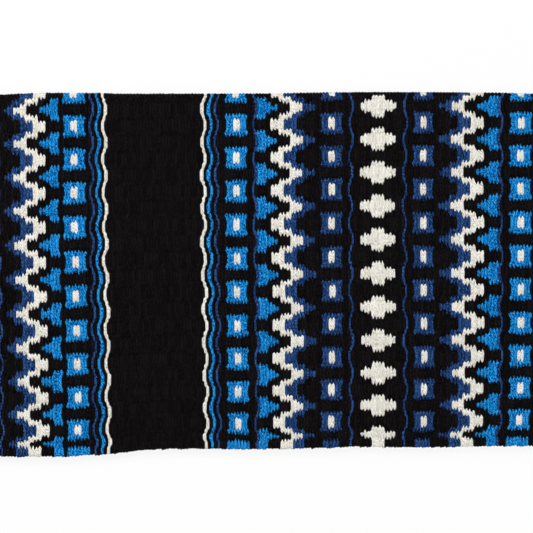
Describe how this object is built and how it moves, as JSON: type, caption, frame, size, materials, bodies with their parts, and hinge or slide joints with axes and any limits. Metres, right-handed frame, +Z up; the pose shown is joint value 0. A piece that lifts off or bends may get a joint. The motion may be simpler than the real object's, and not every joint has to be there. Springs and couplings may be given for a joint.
{
  "type": "saddle blanket",
  "caption": "Folded wool saddle blanket in weft-faced weave, with stripes, zigzags, diamonds and squares in black, cream and two blues; it opens flat at the spine fold.",
  "frame": {"origin": "on the ground below the middle of the folded blanket", "axes": "+X along the spine fold, +Y towards the fold, +Z up through the two leaves"},
  "size_m": [0.9704, 0.445, 0.0145],
  "materials": {
    "diamond_weft": "cream wool yarn, matte, with black ground",
    "navy_square_weft": "navy wool yarn, matte, with cream centres and black ground",
    "zigzag_weft": "cream and navy wool yarn, matte, with black ground",
    "tooth_bar_weft": "azure wool yarn, matte and heathered, with black ground",
    "azure_square_weft": "azure wool yarn, matte and heathered, with cream centres and black ground",
    "pinstripe_weft": "cream, azure and navy wool yarn in fine lines, matte, with black ground",
    "plain_weft": "black wool yarn, matte",
    "warp_cord": "undyed plied cord, matte",
    "heading_cord": "black twined wool cord, matte"
  },
  "bodies": {
    "lower_leaf": {"lower_diamonds": "diamond_weft", "lower_navy_squares_left": "navy_square_weft", "lower_navy_squares_right": "navy_square_weft", "lower_inner_zigzag_left": "zigzag_weft", "lower_inner_zigzag_right": "zigzag_weft", "lower_inner_tooth_bar_left": "tooth_bar_weft", "lower_inner_tooth_bar_right": "tooth_bar_weft", "lower_inner_azure_squares_left": "azure_square_weft", "lower_inner_azure_squares_right": "azure_square_weft", "lower_inner_pinstripes_left": "pinstripe_weft", "lower_inner_pinstripes_right": "pinstripe_weft", "lower_plain_field_left": "plain_weft", "lower_plain_field_right": "plain_weft", "lower_outer_pinstripes_left": "pinstripe_weft", "lower_outer_pinstripes_right": "pinstripe_weft", "lower_outer_azure_squares_left": "azure_square_weft", "lower_outer_azure_squares_right": "azure_square_weft", "lower_outer_tooth_bar_left": "tooth_bar_weft", "lower_outer_tooth_bar_right": "tooth_bar_weft", "lower_outer_zigzag_left": "zigzag_weft", "lower_outer_zigzag_right": "zigzag_weft", "lower_end_border_left": "plain_weft", "lower_end_border_right": "plain_weft", "lower_warp": "warp_cord", "lower_edge_warp": "warp_cord", "lower_heading_cord_left": "heading_cord", "lower_heading_cord_right": "heading_cord", "spine_bight": "plain_weft", "spine_warp_cord": "warp_cord"},
    "upper_leaf": {"upper_diamonds": "diamond_weft", "upper_navy_squares_left": "navy_square_weft", "upper_navy_squares_right": "navy_square_weft", "upper_inner_zigzag_left": "zigzag_weft", "upper_inner_zigzag_right": "zigzag_weft", "upper_inner_tooth_bar_left": "tooth_bar_weft", "upper_inner_tooth_bar_right": "tooth_bar_weft", "upper_inner_azure_squares_left": "azure_square_weft", "upper_inner_azure_squares_right": "azure_square_weft", "upper_inner_pinstripes_left": "pinstripe_weft", "upper_inner_pinstripes_right": "pinstripe_weft", "upper_plain_field_left": "plain_weft", "upper_plain_field_right": "plain_weft", "upper_outer_pinstripes_left": "pinstripe_weft", "upper_outer_pinstripes_right": "pinstripe_weft", "upper_outer_azure_squares_left": "azure_square_weft", "upper_outer_azure_squares_right": "azure_square_weft", "upper_outer_tooth_bar_left": "tooth_bar_weft", "upper_outer_tooth_bar_right": "tooth_bar_weft", "upper_outer_zigzag_left": "zigzag_weft", "upper_outer_zigzag_right": "zigzag_weft", "upper_end_border_left": "plain_weft", "upper_end_border_right": "plain_weft", "upper_warp": "warp_cord", "upper_edge_warp": "warp_cord", "upper_heading_cord_left": "heading_cord", "upper_heading_cord_right": "heading_cord"}
  },
  "joints": [
    {"name": "spine_fold", "type": "hinge", "parent": "lower_leaf", "child": "upper_leaf", "pos_m": [0, 0.2225, 0.00725], "axis": [-1, 0, 0], "range_deg": [0, 180], "deforming": ["spine_bight"]}
  ]
}
